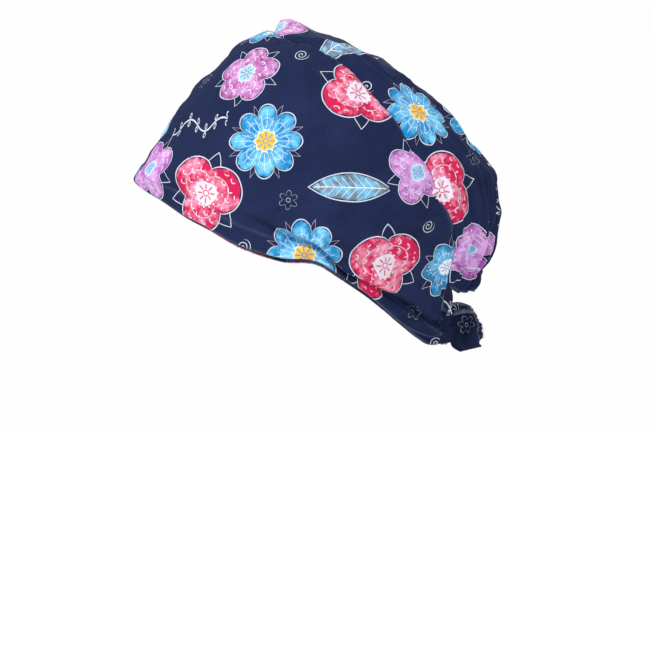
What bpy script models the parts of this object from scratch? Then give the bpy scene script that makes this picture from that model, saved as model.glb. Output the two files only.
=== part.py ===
"""Tie-back scrub cap in printed cotton, as it sits on a head, built at its real size.

Axes: +Z up, the wearer faces -Y, the wearer's left side is +X.
The origin is the middle of the head ring, where the head sits.

The cap is sewn from a front panel, which runs over the forehead and back past both ears,
and a full crown panel, gathered into an elastic hem at the back. The ends of the front
panel run into two ties, knotted behind the nape.

All cloth lies on one body. A way out from its middle is a unit vector. The side outline
says how far the body reaches along that way in the plane of symmetry, the width says how
far it reaches sideways, and an ellipse joins the two. Seams are curves on that body, and
a panel is a sheet of ribs, great-circle arcs from one seam curve to the next. Folds are
then raised from the sheet along its own normals.
"""

import math

import bpy
import numpy as np

# Driving dimensions, in metres
CAP_LENGTH = 0.2555  # forehead edge to the back of the crown
CAP_HEIGHT = 0.2303  # lowest edge at the nape to the peak of the crown
CAP_WIDTH = 0.1730  # across the sides, at their fullest
MIDDLE_BACK = 0.0105  # the body's middle, behind the middle of the head ring
MIDDLE_UP = 0.0693  # the body's middle, above the middle of the head ring
CLOTH = 0.0012  # one wall of cloth
SEAM_GAP = 0.0003  # kept between two pieces that meet
HEM_TUCK = 0.0150  # turned hem along the head edge, up to its crease
HEM_PUFF = 0.0042  # how far the side puffs out over that hem
CROWN_PUFF = 0.0034  # how far the crown stands over its top seam
PEAK_RISE = 0.0050  # the pleat that stands up at the middle of the top seam
PLEAT_DEPTH = 0.0016  # pleats let into the top seam
FOLD_DEPTH = 0.0022  # soft folds that run over a panel
GATHER_DEPTH = 0.0030  # gathers drawn in by the elastic
GATHER_PINCH = 0.36  # share of that depth left at the elastic's own stitch line
GATHER_REACH = 0.0520  # how far up the crown those gathers run
CASING_WALL = 0.0015  # the turned hem with the elastic inside
CASING_SWELL = 0.0024  # how far the casing bows out between its edges
NAPE_DRAW = 0.58  # share of the width that the ties draw in at the knot
TIE_WALL = 0.0016  # a tie is two layers of cloth
TIE_END_WIDTH = 0.0168
TIE_END_LENGTH = 0.0330  # from the knot to the cut end
TIE_END_SPREAD = 0.0085  # how far each tie end hangs to its own side
KNOT_WIDTH = 0.0210  # along X
KNOT_DEPTH = 0.0150  # along Y
KNOT_HEIGHT = 0.0290
KNOT_BEHIND = 0.00385  # the knot's middle, behind the middle of the front panel's ends
KNOT_RISE = 0.00504  # and above it

NAVY = (0.019, 0.032, 0.105)  # ground colours of the print, linear
DARK_NAVY = (0.016, 0.025, 0.074)

PLEATS = 7
GATHERS = 9

# Ways along a panel, from 0 in the plane of symmetry to 1 at the nape
PUFF_STARTS = 0.36  # the puff over the front panel's hem
PUFF_FULL = 0.62
TIGHT_FROM = 0.90  # from here to the tie the front panel is stretched flat
TUCK_WIDENS = 0.75  # share by which the turned hem gets wider toward the nape
TOP_ENDS = (0.40, 0.90)  # the crown's puff over its top seam dies away
PLEATS_END = (0.16, 0.36)
PEAK_HALF = 0.09
GATHERS_END = (0.82, 0.97)

# The side outline, counter-clockwise from the back, as shares of CAP_LENGTH and CAP_HEIGHT
# from the body's middle. The rows below the head edge only close it, with no cloth on them.
OUTLINE = [
    # back, up
    (0.529, -0.080),
    (0.523, -0.035),
    (0.496, 0.008),
    (0.466, 0.050),
    (0.400, 0.148),
    (0.332, 0.220),
    (0.216, 0.310),
    (0.159, 0.350),
    (0.068, 0.388),
    (-0.020, 0.412),
    (-0.090, 0.405),
    (-0.177, 0.366),
    (-0.238, 0.301),
    (-0.338, 0.182),
    (-0.396, 0.082),
    (-0.438, 0.012),
    (-0.468, -0.049),
    (-0.437, -0.117),
    (-0.402, -0.238),
    (-0.301, -0.422),
    (-0.131, -0.578),
    (0.096, -0.632),
    (0.285, -0.702),
    (0.407, -0.622),
    (0.432, -0.478),
    (0.463, -0.386),
    (0.488, -0.322),
    (0.516, -0.261),
    (0.532, -0.179),
]

# Curves on the body, seen from the side, from the plane of symmetry to the nape, in the
# same shares. The first column is the way along the panel, from 0 to 1.
HEAD_EDGE = [
    # along, back, up
    (0.00, -0.468, -0.049),
    (0.15, -0.400, -0.107),
    (0.22, -0.338, -0.154),
    (0.30, -0.286, -0.185),
    (0.45, -0.178, -0.253),
    (0.57, -0.066, -0.292),
    (0.68, 0.047, -0.310),
    (0.80, 0.159, -0.392),
    (0.90, 0.271, -0.492),
    (1.00, 0.362, -0.556),
]
CROWN_SEAM = [
    # along, back, up
    (0.00, -0.089, 0.405),
    (0.14, -0.066, 0.379),
    (0.27, -0.010, 0.356),
    (0.40, 0.078, 0.311),
    (0.51, 0.152, 0.237),
    (0.61, 0.233, 0.131),
    (0.71, 0.304, 0.015),
    (0.79, 0.364, -0.109),
    (0.86, 0.400, -0.204),
    (0.92, 0.405, -0.295),
    (1.00, 0.362, -0.438),
]
ELASTIC_LINE = [
    # along, back, up
    (0.00, 0.487, -0.324),
    (0.35, 0.475, -0.331),
    (0.70, 0.446, -0.345),
    (1.00, 0.392, -0.364),
]
CASING_EDGE = [
    # along, back, up
    (0.00, 0.463, -0.386),
    (0.35, 0.450, -0.388),
    (0.70, 0.413, -0.397),
    (1.00, 0.372, -0.419),
]
CROWN_MIDDLE = [
    # along, back, up
    (0.00, 0.452, 0.074),
    (0.25, 0.462, 0.045),
    (0.50, 0.478, -0.015),
    (0.75, 0.454, -0.110),
    (0.90, 0.418, -0.220),
    (1.00, 0.409, -0.295),
]
# How far along CROWN_SEAM the crown's last rib starts, and where elastic and hem end on it
CROWN_SEAM_END = 0.905
ELASTIC_SEAM_END = 0.928
CASING_SEAM_END = 0.972

# Soft folds, in shares of a panel: along it from -1 to 1, up its ribs from 0 to 1
CROWN_FOLDS = [
    # from along, from up, to along, to up, height, width
    (0.16, 0.16, 0.34, 0.50, 1.00, 0.050),
    (-0.12, 0.14, -0.30, 0.56, 0.80, 0.055),
    (0.52, 0.30, 0.40, 0.72, 0.55, 0.060),
    (-0.50, 0.26, -0.42, 0.66, 0.65, 0.055),
    (0.12, 0.45, 0.04, 0.80, 0.40, 0.050),
]
FRONT_FOLDS = [
    # from along, from up, to along, to up, height, width
    (0.60, 0.30, 0.92, 0.55, 0.60, 0.060),
    (-0.58, 0.26, -0.90, 0.60, 0.70, 0.060),
    (0.72, 0.62, 0.95, 0.86, 0.45, 0.050),
    (-0.70, 0.66, -0.94, 0.82, 0.40, 0.050),
    (0.20, 0.90, 0.42, 0.60, 0.30, 0.070),
    (-0.16, 0.92, -0.40, 0.66, 0.35, 0.070),
]

# A tie end, from the knot to its cut end: its two long edges and how far it leans out
TIE_END = [
    # along, front edge, back edge, lean
    (0.00, 0.00, 0.34, 0.10),
    (0.16, 0.02, 0.70, 0.75),
    (0.35, 0.02, 0.92, 1.00),
    (0.60, 0.05, 0.98, 0.92),
    (0.80, 0.08, 1.00, 1.05),
    (1.00, 0.13, 0.97, 0.90),
]

# The grids, in faces
PANEL_COLUMNS = 54
PANEL_ROWS = 12
CROWN_COLUMNS = 66
CROWN_ROWS = 17
CASING_ROWS = 4
ROW_CROWDING = 1.35  # above 1, the front panel's rows crowd toward the head edge
CROWN_CROWDING = 0.5  # above 0, the crown's rows crowd toward both of its seams


def clear_scene():
    for item in list(bpy.data.objects):
        bpy.data.objects.remove(item)


def cubic_through(stations, values, at):
    """A cubic from row to row, with each row's slope taken from the rows beside it."""
    stations = np.asarray(stations, float)
    values = np.asarray(values, float)
    slopes = np.gradient(values, stations, axis=0)
    row = np.clip(np.searchsorted(stations, at, side="right") - 1, 0, len(stations) - 2)
    step = stations[row + 1] - stations[row]
    share = (at - stations[row]) / step
    if values.ndim > 1:
        share, step = share[..., None], step[..., None]
    rest = 1 - share
    ends = values[row] * (1 + 2 * share) * rest**2 + values[row + 1] * (3 - 2 * share) * share**2
    bends = slopes[row] * step * share * rest**2 - slopes[row + 1] * step * share**2 * rest
    return ends + bends


def outline_reach(bearing):
    """How far the side outline lies from the body's middle. Bearing 0 is back, a quarter turn is up."""
    rows = np.array(OUTLINE) * (CAP_LENGTH, CAP_HEIGHT)
    turns = np.unwrap(np.arctan2(rows[:, 1], rows[:, 0]))
    turns = turns - 2 * math.pi * round(turns[0] / (2 * math.pi))
    reach = np.hypot(rows[:, 0], rows[:, 1])
    around = np.concatenate([turns - 2 * math.pi, turns, turns + 2 * math.pi])
    return cubic_through(around, np.tile(reach, 3), np.asarray(bearing, float))


def on_body(way):
    """The body's point along each unit vector: outline reach in the plane of symmetry, half width across."""
    bearing = np.arctan2(way[..., 2], way[..., 1])
    reach = outline_reach(bearing)
    point = np.empty_like(way)
    back = way[..., 1] * reach
    up = way[..., 2] * reach
    nape = ramp(back / CAP_LENGTH, 0.02, 0.40) * ramp(-up / CAP_HEIGHT, 0.12, 0.50)
    point[..., 0] = way[..., 0] * CAP_WIDTH / 2 * (1 - NAPE_DRAW * nape)
    point[..., 1] = back + MIDDLE_BACK
    point[..., 2] = up + MIDDLE_UP
    return point


def ways_of(table):
    """The unit vectors of a table's rows. The nearer the middle a row lies, the further out it points."""
    rows = np.array(table)[:, 1:] * (CAP_LENGTH, CAP_HEIGHT)
    share = np.hypot(rows[:, 0], rows[:, 1]) / outline_reach(np.arctan2(rows[:, 1], rows[:, 0]))
    share[0] = 1.0
    flat = rows / np.hypot(rows[:, 0], rows[:, 1])[:, None]
    share = np.minimum(share, 1.0)
    return np.column_stack([np.sqrt(1 - share**2), flat[:, 0] * share, flat[:, 1] * share])


def curve_ways(table, along):
    """The curve of a table, as unit vectors, for along from -1 (right) to 1 (left)."""
    left = ways_of(table)
    stations = np.array(table)[:, 0]
    right = left[:0:-1] * (-1, 1, 1)
    ways = cubic_through(
        np.concatenate([-stations[:0:-1], stations]), np.concatenate([right, left]), along
    )
    return ways / np.linalg.norm(ways, axis=-1, keepdims=True)


def step_toward(ways, target, length):
    """Each way moved over the body toward the target way by a length."""
    turn = np.arccos(np.clip((ways * target).sum(-1), -1, 1))[..., None]
    share = np.minimum(length / (CAP_LENGTH / 2) / np.maximum(turn, 1e-6), 1)
    moved = ways * (1 - share) + target * share
    return moved / np.linalg.norm(moved, axis=-1, keepdims=True)


def beside(ways, length):
    """A curve of ways from right to left, moved sideways over the body, toward the crown."""
    sideways = np.cross(ways, np.gradient(ways, axis=0))
    sideways /= np.linalg.norm(sideways, axis=-1, keepdims=True)
    moved = ways + sideways * length / (CAP_LENGTH / 2)
    return moved / np.linalg.norm(moved, axis=-1, keepdims=True)


def ribs_through(start, middle, end, shares):
    """Ribs that pass a middle curve half-way, each a parabola of ways."""
    share = shares[..., None]
    first = 2 * (0.5 - share) * (1 - share)
    half = 4 * share * (1 - share)
    last = 2 * share * (share - 0.5)
    ways = first * start[:, None] + half * middle[:, None] + last * end[:, None]
    return ways / np.linalg.norm(ways, axis=-1, keepdims=True)


def ribs(start, end, shares):
    """Great-circle arcs from each start way to its end way. shares has a row for each rib."""
    turn = np.arccos(np.clip((start * end).sum(-1), -1, 1))[:, None]
    turn = np.maximum(turn, 1e-6)
    first = np.sin((1 - shares) * turn) / np.sin(turn)
    second = np.sin(shares * turn) / np.sin(turn)
    return first[..., None] * start[:, None] + second[..., None] * end[:, None]


def normals_of(points):
    """Unit normals of a sheet of points, pointing out of the body."""
    across = np.gradient(points, axis=0)
    along = np.gradient(points, axis=1)
    normal = np.cross(across, along)
    normal /= np.maximum(np.linalg.norm(normal, axis=-1, keepdims=True), 1e-12)
    middle = np.array((0.0, MIDDLE_BACK, MIDDLE_UP))
    outward = np.sign(((points - middle) * normal).sum())
    return normal * outward


def lengths_along(points):
    """The length from each rib's start to each of its points."""
    steps = np.linalg.norm(np.diff(points, axis=1), axis=-1)
    return np.concatenate([np.zeros((len(points), 1)), np.cumsum(steps, axis=1)], axis=1)


def trimmed_shares(start, end, spacing, trim_start, trim_end):
    """Shares along each rib, kept a length clear of the curves that it runs between."""
    whole = on_body(ribs(start, end, np.tile(np.linspace(0, 1, 33), (len(start), 1))))
    length = lengths_along(whole)[:, -1:]
    low = trim_start / length
    high = 1 - trim_end / length
    return low + (high - low) * spacing[None]


def ramp(value, low, high):
    """0 below low, 1 above high, smooth between."""
    share = np.clip((value - low) / (high - low), 0, 1)
    return share * share * (3 - 2 * share)


def bell(value, middle, width):
    return np.exp(-(((value - middle) / width) ** 2))


def distance_to(points, curve):
    """How far each point lies from the nearest point of a curve."""
    flat = points.reshape(-1, 3)
    apart = np.linalg.norm(flat[:, None] - curve[None], axis=-1).min(axis=1)
    return apart.reshape(points.shape[:2])


def folds(table, along, spacing):
    """The height of a table's folds over a panel: each a ridge about a line, dying at its ends."""
    height = np.zeros((len(along), len(spacing)))
    place = np.stack(np.broadcast_arrays(along[:, None], spacing[None]), -1)
    for from_along, from_up, to_along, to_up, share, width in table:
        first = np.array((from_along, from_up))
        line = np.array((to_along, to_up)) - first
        run = ((place - first) * line).sum(-1) / (line @ line)
        apart = np.abs((place - first) @ np.array((-line[1], line[0]))) / math.hypot(*line)
        lasting = ramp(run, -0.25, 0.3) * (1 - ramp(run, 0.7, 1.25))
        height += share * bell(apart, 0, width) * lasting
    return height * FOLD_DEPTH


def cotton(name, colour):
    """Printed cotton poplin, matt. Each piece has its own."""
    material = bpy.data.materials.new(name)
    material.use_nodes = True
    shader = material.node_tree.nodes["Principled BSDF"]
    shader.inputs["Base Color"].default_value = (*colour, 1.0)
    shader.inputs["Roughness"].default_value = 0.85
    shader.inputs["Metallic"].default_value = 0.0
    return material


def link(name, mesh, colour):
    node = bpy.data.objects.new(name, mesh)
    mesh.materials.append(cotton(name + "_cotton", colour))
    bpy.data.collections["scrub_cap"].objects.link(node)
    return node


def sheet_object(name, points, colour, wall, offset=-1.0):
    """A sheet of points as an open surface, given its wall by Solidify."""
    columns, rows = points.shape[:2]
    index = np.arange(columns * rows).reshape(columns, rows)
    faces = np.stack(
        [index[:-1, :-1], index[1:, :-1], index[1:, 1:], index[:-1, 1:]], axis=-1
    ).reshape(-1, 4)
    corners = points.reshape(-1, 3)
    middle = np.array((0.0, MIDDLE_BACK, MIDDLE_UP))
    a, b, c = corners[faces[:, 0]], corners[faces[:, 1]], corners[faces[:, 2]]
    if (np.cross(b - a, c - b) * (a - middle)).sum() < 0:
        faces = faces[:, ::-1]
    mesh = bpy.data.meshes.new(name)
    mesh.from_pydata(corners.tolist(), [], faces.tolist())
    node = link(name, mesh, colour)
    solid = node.modifiers.new("wall", "SOLIDIFY")
    solid.thickness = wall
    solid.offset = offset
    solid.use_even_offset = False
    mesh.shade_smooth()
    return node


def loft_object(name, sections, colour):
    """Rings of points, joined from one to the next and closed by a face at each end."""
    count, around = sections.shape[:2]
    faces = []
    for ring in range(count - 1):
        for step in range(around):
            after = (step + 1) % around
            low, high = ring * around, (ring + 1) * around
            faces.append((low + step, low + after, high + after, high + step))
    faces.append(tuple(range(around - 1, -1, -1)))
    faces.append(tuple(range((count - 1) * around, count * around)))
    mesh = bpy.data.meshes.new(name)
    mesh.from_pydata(sections.reshape(-1, 3).tolist(), [], faces)
    node = link(name, mesh, colour)
    mesh.shade_smooth()
    mesh.set_sharp_from_angle(angle=math.radians(60))
    return node


def front_points(along):
    """The front panel's sheet: ribs from the head edge to the top seam, puffed over the hem."""
    start = curve_ways(HEAD_EDGE, along)
    end = curve_ways(CROWN_SEAM, along)
    spacing = np.linspace(0, 1, PANEL_ROWS + 1) ** ROW_CROWDING
    shares = trimmed_shares(start, end, spacing, 0.0, SEAM_GAP / 2)
    points = on_body(ribs(start, end, shares))
    up_rib = lengths_along(points)
    whole = up_rib[:, -1:]
    side = np.abs(along)[:, None]
    tuck = HEM_TUCK * (1 + TUCK_WIDENS * ramp(side, PUFF_FULL, TIGHT_FROM))
    above = ramp(up_rib, tuck * 0.85, tuck * 1.45)
    fade = 1 - ramp(up_rib / whole, 0.55, 1.0)
    tight = ramp(side, TIGHT_FROM, 1.0)
    puffed = ramp(side, PUFF_STARTS, PUFF_FULL)
    lift = HEM_PUFF * puffed * above * fade * (1 - tight)
    crease = -0.3 * HEM_PUFF * puffed * bell(up_rib, tuck, HEM_TUCK * 0.3)
    soft = folds(FRONT_FOLDS, along, spacing) * ramp(up_rib, tuck, tuck * 2) * fade
    return points + normals_of(points) * (lift + soft + crease * (1 - tight))[..., None]


def front_panel():
    """The panel that runs from tie to tie."""
    points = front_points(np.linspace(-1, 1, PANEL_COLUMNS + 1))
    return sheet_object("front_panel", points, NAVY, CLOTH)


def gather_waves(along):
    """The gathers' waves across the back, crowded here and open there."""
    waves = np.cos(math.pi * GATHERS * along + 0.3 * np.sin(3.1 * math.pi * along + 0.4))
    return ((waves - 0.6) * (1 - ramp(np.abs(along), *GATHERS_END)))[:, None]


def crown_lift(along, spacing, points, seam):
    """How far the crown stands off the body: peak, puff over the top seam, pleats, folds, gathers."""
    side = np.abs(along)[:, None]
    from_seam = distance_to(points, seam)
    top = 1 - ramp(side, *TOP_ENDS)
    edge = ramp(from_seam, 0, CROWN_PUFF * 3)
    near_seam = edge * (1 - ramp(from_seam, CROWN_PUFF * 3, CROWN_PUFF * 15))
    puff = CROWN_PUFF * top * near_seam * (1 - 0.8 * bell(side, 0, 0.14))
    peak = PEAK_RISE * bell(side, 0.0, PEAK_HALF) * edge
    peak = peak * (1 - ramp(from_seam, PEAK_RISE * 2, PEAK_RISE * 6))
    pleats = PLEAT_DEPTH * np.cos(math.pi * PLEATS * along + 0.5)[:, None] * near_seam
    pleats = pleats * (1 - ramp(side, *PLEATS_END))
    up_rib = lengths_along(points)
    from_elastic = up_rib[:, -1:] - up_rib
    drawn = 1 - ramp(from_elastic, GATHER_REACH * 0.2, GATHER_REACH)
    pinched = GATHER_PINCH + (1 - GATHER_PINCH) * ramp(from_elastic, 0, GATHER_REACH * 0.2)
    gathers = GATHER_DEPTH * gather_waves(along) * drawn**1.5 * pinched
    return puff + peak + pleats + folds(CROWN_FOLDS, along, spacing) * edge + gathers


def lower_curves(along):
    """The elastic line and the casing's edge, whose ends lie on the seam to the front panel."""
    seam_ends = curve_ways(CROWN_SEAM, np.array((ELASTIC_SEAM_END, CASING_SEAM_END)))
    curves = []
    for table, seam_end in ((ELASTIC_LINE, seam_ends[0]), (CASING_EDGE, seam_ends[1])):
        curve = curve_ways(table, along)
        last = curve_ways(table, np.array((1.0,)))[0]
        near = ramp(np.abs(along), 0.55, 1.0)[:, None]
        mirror = np.where(along[:, None] < 0, (-1.0, 1.0, 1.0), (1.0, 1.0, 1.0))
        curve = curve + (seam_end - last) * mirror * near
        curve /= np.linalg.norm(curve, axis=-1, keepdims=True)
        middle = curve_ways(table, np.array((0.0,)))
        curves.append(step_toward(curve, middle, SEAM_GAP * 5))
    return curves


def crown_points(along):
    """The crown's sheet: ribs from the top seam over the back of the head to the elastic."""
    middle = curve_ways(CROWN_MIDDLE, along)
    start = curve_ways(CROWN_SEAM, along * CROWN_SEAM_END)
    start = beside(start, SEAM_GAP * 2.5)
    end = lower_curves(along)[0]
    even = np.linspace(0, 1, CROWN_ROWS + 1)
    spacing = even - CROWN_CROWDING * np.sin(2 * math.pi * even) / (2 * math.pi)
    shares = trimmed_shares(start, end, spacing, 0.0, SEAM_GAP / 2)
    points = on_body(ribs_through(start, middle, end, shares))
    seam = on_body(curve_ways(CROWN_SEAM, np.linspace(-1, 1, 401)))
    lift = crown_lift(along, spacing, points, seam)
    return points + normals_of(points) * lift[..., None]


def crown_panel():
    """The full panel that is gathered into the elastic."""
    points = crown_points(np.linspace(-1, 1, CROWN_COLUMNS + 1))
    return sheet_object("crown_panel", points, NAVY, CLOTH)


def casing_points(along):
    """The casing's sheet, which carries on from the crown's last row, a seam gap below it."""
    start, end = lower_curves(along)
    side = np.abs(along)[:, None]
    spacing = np.linspace(0, 1, CASING_ROWS + 1)
    shares = trimmed_shares(start, end, spacing, SEAM_GAP / 2, 0.0)
    points = on_body(ribs(start, end, shares))
    up_rib = lengths_along(points)
    across = up_rib / up_rib[:, -1:]
    bow = CASING_SWELL * np.sin(math.pi * across) ** 2 * (1 - ramp(side, 0.7, 1.0))
    ruffle = GATHER_DEPTH * gather_waves(along) * (GATHER_PINCH + 0.2 * ramp(across, 0, 1))
    down = points[:, 1] - points[:, 0]
    down /= np.linalg.norm(down, axis=-1, keepdims=True)
    points = points + normals_of(points) * (bow + ruffle)[..., None]
    meet = crown_points(along)[:, -1] + down * SEAM_GAP * 2
    return points + (meet - points[:, 0])[:, None] * (1 - across)[..., None]


def elastic_casing():
    """The gathered hem below the crown, two layers of cloth over the elastic."""
    points = casing_points(np.linspace(-1, 1, CROWN_COLUMNS + 1))
    return sheet_object("elastic_casing", points, NAVY, CASING_WALL)


def knot_middle():
    """The knot lies in the plane of symmetry, where the front panel's two ends are drawn to."""
    _, back, up = front_points(np.linspace(-1, 1, PANEL_COLUMNS + 1))[-1].mean(axis=0)
    return np.array((0.0, back + KNOT_BEHIND, up + KNOT_RISE))


def knot_surface(turn, climb, clear):
    """A point of the knot's bare ellipsoid, grown by a clearance. Turn 0 is the wearer's left."""
    half = np.array((KNOT_WIDTH, KNOT_DEPTH, KNOT_HEIGHT)) / 2 + clear
    way = np.stack([np.cos(turn) * np.cos(climb), np.sin(turn) * np.cos(climb), np.sin(climb)], -1)
    return knot_middle() + way * half


def knot():
    """The half knot: a ball of cloth with the grooves of one tie wound over the other."""
    turn = np.linspace(0, 2 * math.pi, 28, endpoint=False)[None]
    climb = np.linspace(-0.47 * math.pi, 0.47 * math.pi, 17)[:, None]
    groove = np.abs(np.sin(turn * 1.5 + climb * 1.4 + 0.6)) ** 0.6
    depth = KNOT_WIDTH * 0.075 * (1 - groove) * np.cos(climb)
    points = knot_surface(turn + 0 * climb, climb + 0 * turn, -depth[..., None])
    return loft_object("knot", points, DARK_NAVY)


def tie(name, side):
    """A tie from the front panel's end to the knot, drawn narrower on its way."""
    panel = front_points(np.linspace(-1, 1, PANEL_COLUMNS + 1))
    first = panel[-1 if side > 0 else 0]
    before = panel[-2 if side > 0 else 1]
    rib = first[-1] - first[0]
    rib /= np.linalg.norm(rib)
    forward = (first - before)[: len(first) // 2].mean(axis=0)
    forward -= rib * (forward @ rib)
    forward /= np.linalg.norm(forward)
    start = first + forward * SEAM_GAP * np.linspace(1.5, 4.5, len(first))[:, None]
    climb = np.linspace(-0.36, 0.30, len(start)) * math.pi
    turn = (-0.10 if side > 0 else 1.10) * math.pi
    end = knot_surface(turn + 0 * climb, climb, SEAM_GAP * 3)
    share = np.linspace(0, 1, 9)[:, None, None]
    turn_in = start + forward * KNOT_WIDTH * 0.22
    points = start * (1 - share) ** 2 + 2 * turn_in * share * (1 - share) + end * share**2
    return sheet_object(name, points, DARK_NAVY, TIE_WALL)


def tie_end(name, side):
    """The loose end of a tie. It leaves the knot's back edge-on and hangs down on its own side."""
    rows = np.array(TIE_END)
    along = np.linspace(0, 1, 15)
    front, back, lean = cubic_through(rows[:, 0], rows[:, 1:], along).T[..., None]
    along = along[:, None]
    across = np.linspace(0, 1, 9)[None]
    curl = 1 + 0.35 * np.sin(5.2 * across + 3 * along + side)
    _, middle_back, middle_up = knot_middle()
    knot_back = middle_back + KNOT_DEPTH / 2
    x = side * TIE_END_SPREAD * lean * curl
    y = knot_back + TIE_WALL + (front * (1 - across) + back * across) * TIE_END_WIDTH
    drop = along * TIE_END_LENGTH + across * TIE_END_WIDTH * 0.1
    z = middle_up + KNOT_HEIGHT * 0.47 - drop
    points = np.stack([x, y, z], -1)
    turn = (0.5 - side * 0.15) * math.pi
    climb = np.linspace(0.0, 0.42, across.size) * math.pi
    at_knot = knot_surface(turn + 0 * climb, climb, SEAM_GAP + TIE_WALL / 2)
    points = points + (at_knot - points[0])[None] * (1 - ramp(along, 0, 0.4))[..., None]
    return sheet_object(name, points, DARK_NAVY, TIE_WALL, 0.0)


def main():
    clear_scene()
    collection = bpy.data.collections.new("scrub_cap")
    bpy.context.scene.collection.children.link(collection)
    front_panel()
    crown_panel()
    elastic_casing()
    tie("tie_left", 1)
    tie("tie_right", -1)
    knot()
    tie_end("tie_end_left", 1)
    tie_end("tie_end_right", -1)


main()
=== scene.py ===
"""Tie-back scrub cap in printed cotton poplin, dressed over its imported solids.

All cloth lies on one body, as in the part itself: a way out from the body's middle is a
unit vector, the side outline says how far the body reaches along it, and the width says
how far it reaches sideways. A panel is a sheet of ribs from one seam curve to the next.
The sheets here are finer than the solids, and carry the wrinkles, hems, puckers and print.
"""

import math

import bpy
import numpy as np
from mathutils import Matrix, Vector


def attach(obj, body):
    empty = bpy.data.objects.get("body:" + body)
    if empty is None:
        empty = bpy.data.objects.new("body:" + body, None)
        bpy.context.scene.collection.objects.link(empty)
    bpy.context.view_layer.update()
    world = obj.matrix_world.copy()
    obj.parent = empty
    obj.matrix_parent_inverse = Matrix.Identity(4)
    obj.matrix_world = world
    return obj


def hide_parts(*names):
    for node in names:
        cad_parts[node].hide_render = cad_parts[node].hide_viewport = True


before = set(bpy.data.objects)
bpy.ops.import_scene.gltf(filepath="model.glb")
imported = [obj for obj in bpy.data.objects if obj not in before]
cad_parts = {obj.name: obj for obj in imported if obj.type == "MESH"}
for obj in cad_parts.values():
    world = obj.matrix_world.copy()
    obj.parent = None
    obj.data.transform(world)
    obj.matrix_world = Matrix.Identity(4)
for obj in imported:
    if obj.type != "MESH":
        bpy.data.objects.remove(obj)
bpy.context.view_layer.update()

# The cap's own sizes, in metres, as the solids have them
CAP_LENGTH = 0.2555
CAP_HEIGHT = 0.2303
CAP_WIDTH = 0.1730
MIDDLE_BACK = 0.0105
MIDDLE_UP = 0.0693
SEAM_GAP = 0.0003
HEM_PUFF = 0.0042
CROWN_PUFF = 0.0034
PEAK_RISE = 0.0050
PLEAT_DEPTH = 0.0016
FOLD_DEPTH = 0.0022
GATHER_DEPTH = 0.0030
GATHER_PINCH = 0.36
GATHER_REACH = 0.0520
CASING_SWELL = 0.0024
NAPE_DRAW = 0.58
TIE_END_SPREAD = 0.0085
KNOT_WIDTH = 0.0210
KNOT_DEPTH = 0.0150
KNOT_HEIGHT = 0.0290
KNOT_BACK = 0.1075
KNOT_DOWN = 0.0425
PLEATS = 7
GATHERS = 9

# What only the looks need
CLOTH = 0.0009  # one wall of cloth, thick enough to show an edge
CASING_CLOTH = 0.0013
TIE_CLOTH = 0.0014
LOOSE_CLOTH = 0.0008  # the knot, and the tie ends with their cut edges
HEM_STITCHES = 0.0137  # how far up from the head edge the hem is stitched
STITCH_RADIUS = 0.00022
ROLL_ROWS = 11  # rows in the rolled top edge of a tie end
SEAM_VALLEY = 0.0022  # how far the cloth dives at a sewn seam
OVER_SEAM = 0.45  # shares of that dive: the front panel's edge lies over the crown's
UNDER_SEAM = 1.35
VALLEY_WIDTH = 0.0023
SEAM_TUCK = 0.0060  # seam allowance that runs on under the next panel
END_TUCK = 0.0042  # how far the casing's ends run on under it
PUCKER = 0.00028  # puckers that the thread draws along a seam
PUCKER_PITCH = 0.0074
CREASE_DEPTH = 0.0036  # of the crease over the ear, where the hem's band ends
LONG_FOLDS = 0.0018  # height of the soft folds in which the gathers run on up the crown
END_SINK = 0.0026  # how deep the ends of crown and casing dive under the front panel
ALONG = np.linspace(-1, 1, 401)  # the ribs of the panels, from the right end to the left
MIDDLE = np.array((0.0, MIDDLE_BACK, MIDDLE_UP))

OUTLINE = [
    # back, up
    (0.529, -0.080), (0.523, -0.035), (0.496, 0.008), (0.466, 0.050), (0.400, 0.148),
    (0.332, 0.220), (0.216, 0.310), (0.159, 0.350), (0.068, 0.388), (-0.020, 0.412),
    (-0.090, 0.405), (-0.177, 0.366), (-0.238, 0.301), (-0.338, 0.182), (-0.396, 0.082),
    (-0.438, 0.012), (-0.468, -0.049), (-0.437, -0.117), (-0.402, -0.238),
    (-0.301, -0.422), (-0.131, -0.578), (0.096, -0.632), (0.285, -0.702),
    (0.407, -0.622), (0.432, -0.478), (0.463, -0.386), (0.488, -0.322),
    (0.516, -0.261), (0.532, -0.179),
]
HEAD_EDGE = [
    # along, back, up
    (0.00, -0.468, -0.049), (0.15, -0.400, -0.107), (0.22, -0.338, -0.154),
    (0.30, -0.286, -0.185), (0.45, -0.178, -0.253), (0.57, -0.066, -0.292),
    (0.68, 0.047, -0.310), (0.80, 0.159, -0.392), (0.90, 0.271, -0.495),
    (0.945, 0.315, -0.533), (0.975, 0.343, -0.552), (1.00, 0.370, -0.549),
]
CROWN_SEAM = [
    # along, back, up
    (0.00, -0.089, 0.405), (0.14, -0.066, 0.379), (0.27, -0.010, 0.356),
    (0.40, 0.078, 0.311), (0.51, 0.152, 0.237), (0.61, 0.233, 0.131),
    (0.71, 0.304, 0.015), (0.79, 0.364, -0.109), (0.86, 0.400, -0.204),
    (0.92, 0.405, -0.295), (1.00, 0.362, -0.438),
]
ELASTIC_LINE = [
    # along, back, up
    (0.00, 0.487, -0.324), (0.35, 0.475, -0.331), (0.70, 0.446, -0.345),
    (1.00, 0.392, -0.364),
]
CASING_EDGE = [
    # along, back, up
    (0.00, 0.463, -0.386), (0.35, 0.450, -0.388), (0.70, 0.413, -0.397),
    (1.00, 0.372, -0.419),
]
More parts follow.
